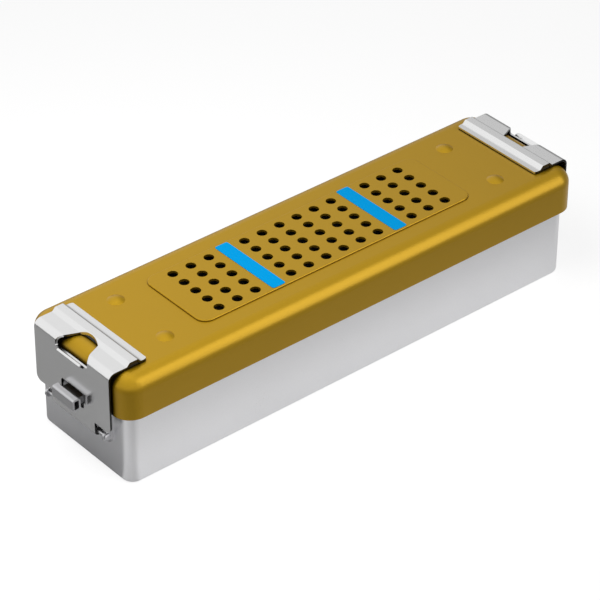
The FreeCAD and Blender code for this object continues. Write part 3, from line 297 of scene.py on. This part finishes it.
def surface(name, group, bump, metallic, values, gap=None, closed=0.35, cut_share=None,
            **shader_values):
    """A material whose colour, roughness and bump come from one shared effect.

    gap: how wide a gap or fold may be for painted shade to darken it, and closed: how little of
    the surround it then sees. cut_share: the share of the colour that painted shade leaves on cut
    faces.
    """
    material = bpy.data.materials.new(name)
    material.use_nodes = True
    tree = material.node_tree
    shader = tree.nodes["Principled BSDF"]
    shader.inputs["Metallic"].default_value = metallic
    for key, number in shader_values.items():
        shader.inputs[key.replace("_", " ")].default_value = number
    place = add_node(tree, "ShaderNodeTexCoord")
    effect = add_node(tree, "ShaderNodeGroup", node_tree=group)
    for key, number in values.items():
        effect.inputs[key].default_value = number
    link = tree.links.new
    link(place.outputs["Object"], effect.inputs["Vector"])
    tint = effect.outputs["Colour"]
    # Painted shade: the colour is darkened in narrow gaps and folds, and on cut faces.
    if gap:
        tint = scaled(tree, tint, painted_gap_shade_share(tree, gap, closed))
    if cut_share:
        tint = scaled(tree, tint, painted_cut_face_shade(tree, place.outputs["Normal"], cut_share))
    link(tint, shader.inputs["Base Color"])
    link(effect.outputs["Roughness"], shader.inputs["Roughness"])
    relief = add_node(tree, "ShaderNodeBump", {"Strength": bump, "Distance": RELIEF_DEPTH})
    link(effect.outputs["Height"], relief.inputs["Height"])
    link(relief.outputs["Normal"], shader.inputs["Normal"])
    return material


def colour(red, green, blue):
    """A linear colour from the three 0-255 values it shows on screen."""
    def linear(value):
        value /= 255
        return value / 12.92 if value <= 0.04045 else ((value + 0.055) / 1.055) ** 2.4
    return (linear(red), linear(green), linear(blue), 1)


def dress_nodes():
    """Give every CAD node its material."""
    for entry in frame["record"]["subparts"]:
        materials = nodes[entry["node"]].data.materials
        materials.clear()
        hardware = entry["node"].startswith(("hinge", "seal_loop", "leaf_rivet", "bar_nut"))
        materials.append(FINISHES["turned_steel" if hardware else entry["material_slot"]])


# Pieces that stand for CAD nodes.
def reshaped(point):
    """Where a point of the latch (mm, as on the right end) goes on the finished sheet."""
    along, across, high = point
    if along > SHEET_FACE:
        return Vector(point)
    if along > BEND_CENTRE.x and high > BEND_CENTRE.y:
        arm = Vector((along, high)) - BEND_CENTRE
        if high < CUT_TOP and abs(across) < CUT_HALF:
            return Vector((BEND_CENTRE.x + arm.length, across, high))
        arm *= (arm.length - BEND_SHIFT) / arm.length
        return Vector((BEND_CENTRE.x + BEND_SHIFT + arm.x, across,
                       BEND_CENTRE.y + BEND_SHIFT + arm.y))
    if high < UNDER_FLANGE:
        return Vector(point)
    if along > BEAD_OLD[1]:
        share = (along - BEAD_OLD[1]) / (BEND_CENTRE.x - BEAD_OLD[1])
        flat = BEND_CENTRE.x + BEND_SHIFT - BEAD_NEW[1]
        return Vector((BEAD_NEW[1] + share * flat, across, high))
    if along > BEAD_OLD[0]:
        share = (along - BEAD_OLD[0]) / (BEAD_OLD[1] - BEAD_OLD[0])
        return Vector((BEAD_NEW[0] + share * (BEAD_NEW[1] - BEAD_NEW[0]), across, high))
    share = (BEAD_OLD[0] - along) / LIP_OLD
    corner = SHEET_SIDE - abs(across)
    if share > CORNER_SHARE and corner < CORNER_OLD * CORNER_SLACK:
        across = math.copysign(SHEET_SIDE - corner * CORNER_NEW / CORNER_OLD, across)
    return Vector((BEAD_NEW[0] - share * LIP_NEW, across, high))


def latch_move(sign):
    """The move that reshapes a latch's points, in metres, on the end with this sign of X."""
    def move(point):
        moved = reshaped((sign * point.x / MM, point.y / MM, point.z / MM))
        return Vector((sign * moved.x * MM, point.y, moved.z * MM))
    return move


def merged_mesh(node, name, move):
    """A merged copy of a CAD node's mesh, moved point by point, with its sharp edges marked."""
    mesh = nodes[node].data.copy()
    shape = bmesh.new()
    shape.from_mesh(mesh)
    bmesh.ops.remove_doubles(shape, verts=shape.verts, dist=MERGE_DISTANCE)
    if move:
        for vert in shape.verts:
            vert.co = move(vert.co)
    bmesh.ops.dissolve_limit(shape, angle_limit=FLAT_ANGLE, verts=shape.verts, edges=shape.edges)
    for face in shape.faces:
        face.smooth = True
    for edge in shape.edges:
        edge.smooth = len(edge.link_faces) == 2 and edge.calc_face_angle(0.0) < SHARP_ANGLE
    shape.to_mesh(mesh)
    shape.free()
    mesh.name = name
    if mesh.attributes.get("custom_normal"):
        mesh.attributes.remove(mesh.attributes["custom_normal"])
    return mesh


def finish_copy(node, name, body, slot, bevel, move=None):
    """A copy that stands for a CAD node, with softened edges."""
    mesh = merged_mesh(node, name, move)
    piece = add_object(name, mesh)
    soften = piece.modifiers.new("soft_edges", "BEVEL")
    soften.width = bevel
    soften.segments = BEVEL_SEGMENTS
    soften.limit_method = "ANGLE"
    soften.angle_limit = BEVEL_ANGLE
    soften.harden_normals = False
    level = piece.modifiers.new("even_shading", "WEIGHTED_NORMAL")
    level.keep_sharp = True
    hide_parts(node)
    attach(piece, body)
    mesh.materials.clear()
    mesh.materials.append(FINISHES[slot])
    return piece


def make_latches():
    """The sheets and pads, with the bend, bead and lip that the photograph shows closer up."""
    for end, sign in END_SIGNS.items():
        move = latch_move(sign)
        finish_copy("latch_plate_" + end, "latch_sheet_" + end, "latch_" + end,
                    "stainless_steel", SHEET_BEVEL, move)
        finish_copy("latch_pad_" + end, "pressure_pad_" + end, "latch_" + end,
                    "black_silicone", PAD_BEVEL, move)


def make_soft_pieces():
    """The gasket and the filter sheet under the lid."""
    finish_copy("lid_gasket", "gasket_ring", "lid", "grey_silicone", GASKET_BEVEL)
    filter_cloth = finish_copy("filter_sheet", "filter_cloth", "lid", "dark_filter", FILTER_BEVEL)


# Studio.
def add_lamp(name, place, target, size, power):
    """A soft rectangular lamp that points at a target."""
    data = bpy.data.lights.new(name, "AREA")
    data.shape = "RECTANGLE"
    data.size, data.size_y = size
    data.energy = power
    lamp = add_object(name, data)
    lamp.location = place
    lamp.rotation_euler = (Vector(target) - Vector(place)).to_track_quat("-Z", "Y").to_euler()
    return lamp


def seen_ray(tree, mirrored):
    """What each ray is shown: 1 for the camera and through glass, a pattern for gloss."""
    path = add_node(tree, "ShaderNodeLightPath")
    gloss = math_node(tree, "MULTIPLY", path.outputs["Is Glossy Ray"], mirrored)
    clear = math_node(tree, "MAXIMUM", path.outputs["Is Camera Ray"],
                      path.outputs["Is Transmission Ray"])
    return math_node(tree, "MAXIMUM", clear, gloss)


def make_world():
    """An even white surround; metal sees it darker towards the right end."""
    world = bpy.data.worlds.new("studio")
    bpy.context.scene.world = world
    world.use_nodes = True
    tree = world.node_tree
    backdrop = tree.nodes["Background"]
    backdrop.inputs["Color"].default_value = WHITE
    place = add_node(tree, "ShaderNodeTexCoord")
    split = add_node(tree, "ShaderNodeSeparateXYZ")
    tree.links.new(place.outputs["Generated"], split.inputs[0])
    side = add_ramp(tree, split.outputs["X"], SURROUND)
    strength = math_node(tree, "MAXIMUM", seen_ray(tree, side), WORLD_FILL)
    tree.links.new(strength, backdrop.inputs["Strength"])


def floor_pattern(tree):
    """How bright gloss sees the floor: by side of the box, and less beyond its front."""
    place = add_node(tree, "ShaderNodeTexCoord")
    centre = add_node(tree, "ShaderNodeMapping", {"Location": FLOOR_CORNER})
    around = add_node(tree, "ShaderNodeTexGradient", gradient_type="RADIAL")
    tree.links.new(place.outputs["Object"], centre.inputs["Vector"])
    tree.links.new(centre.outputs["Vector"], around.inputs["Vector"])
    sides = add_ramp(tree, around.outputs["Fac"], FLOOR_SIDES)
    split = add_node(tree, "ShaderNodeSeparateXYZ")
    tree.links.new(place.outputs["Object"], split.inputs[0])
    away = add_node(tree, "ShaderNodeMapRange", {
        "From Min": FAR_FRONT, "From Max": NEAR_FRONT, "To Min": FAR_FRONT_SHARE, "To Max": 1.0})
    tree.links.new(split.outputs["Y"], away.inputs["Value"])
    return math_node(tree, "MULTIPLY", sides, away.outputs["Result"])


def make_floor():
    """A pale floor that keeps a soft shadow and is shown to gloss by its side of the box."""
    mesh = bpy.data.meshes.new("floor")
    shape = bmesh.new()
    bmesh.ops.create_grid(shape, x_segments=1, y_segments=1, size=FLOOR_SIZE)
    shape.to_mesh(mesh)
    shape.free()
    floor = add_object("floor", mesh)
    material = bpy.data.materials.new("floor")
    material.use_nodes = True
    tree = material.node_tree
    shader = tree.nodes["Principled BSDF"]
    shader.inputs["Base Color"].default_value = (FLOOR_TONE, FLOOR_TONE, FLOOR_TONE, 1)
    shader.inputs["Roughness"].default_value = FLOOR_ROUGHNESS
    shader.inputs["Specular IOR Level"].default_value = 0.0
    shader.inputs["Emission Color"].default_value = WHITE
    # The floor glows for camera, glass and gloss rays; to gloss the glow is painted darker to the
    # left, behind and further out in front, where shade would fall.
    glow = math_node(tree, "MULTIPLY", seen_ray(tree, floor_pattern(tree)), FLOOR_GLOW)
    tree.links.new(glow, shader.inputs["Emission Strength"])
    mesh.materials.append(material)


def light_studio():
    """The surround, the floor and two lamps."""
    make_world()
    make_floor()
    add_lamp("key_lamp", place=(1.10, -1.40, 1.0), target=(0, 0, 0.03), size=(1.1, 2.0), power=12)
    near_lamp = add_lamp("near_lamp", place=(-0.14, 0.03, 0.38), target=(-0.10, 0, 0.05),
                         size=(0.3, 0.3), power=0.95)
    near_lamp.visible_glossy = False
    bpy.context.scene.view_settings.view_transform = "Standard"


place_camera()
satin = make_satin_group()
brushed = make_brushed_group()
painted_gap_shade = make_painted_gap_shade_group()
FINISHES = {
    # The gold is darkened in gaps and folds up to 6 mm wide: painted shade.
    "gold_anodised": surface("gold_anodised", satin, 0.05, 0.5, {
        "Colour": colour(192, 150, 8), "Roughness": 0.34}, gap=6 * MM, closed=0.36,
        Specular_IOR_Level=0.5),
    "tub_aluminium": surface("tub_aluminium", satin, 0.05, 0.9, {
        "Colour": colour(242, 242, 244), "Roughness": 0.30}),
    # The steel is darkened in gaps up to 1.6 mm wide and on its cut faces: painted shade.
    "stainless_steel": surface("stainless_steel", brushed, 0.02, 1.0, {
        "Colour": colour(232, 232, 232), "Line Amount": 0.05, "Smudge Amount": 0.05,
        "Roughness": 0.20}, gap=1.6 * MM, cut_share=0.05),
    "turned_steel": surface("turned_steel", brushed, 0.02, 1.0, {
        "Colour": colour(200, 200, 202), "Line Amount": 0.04, "Smudge Amount": 0.04,
        "Roughness": 0.30}),
    "grey_silicone": surface("grey_silicone", satin, 0.1, 0.0, {
        "Colour": colour(120, 122, 124), "Roughness": 0.55}),
    "black_silicone": surface("black_silicone", satin, 0.1, 0.0, {
        "Colour": colour(22, 22, 22), "Roughness": 0.5}),
    "blue_plastic": surface("blue_plastic", satin, 0.1, 0.0, {
        "Colour": colour(2, 171, 246), "Roughness": 0.5}, Specular_IOR_Level=0.05),
    "dark_filter": surface("dark_filter", satin, 0.3, 0.0, {
        "Colour": colour(20, 18, 16), "Roughness": 0.9}),
}
dress_nodes()
make_latches()
make_soft_pieces()
light_studio()
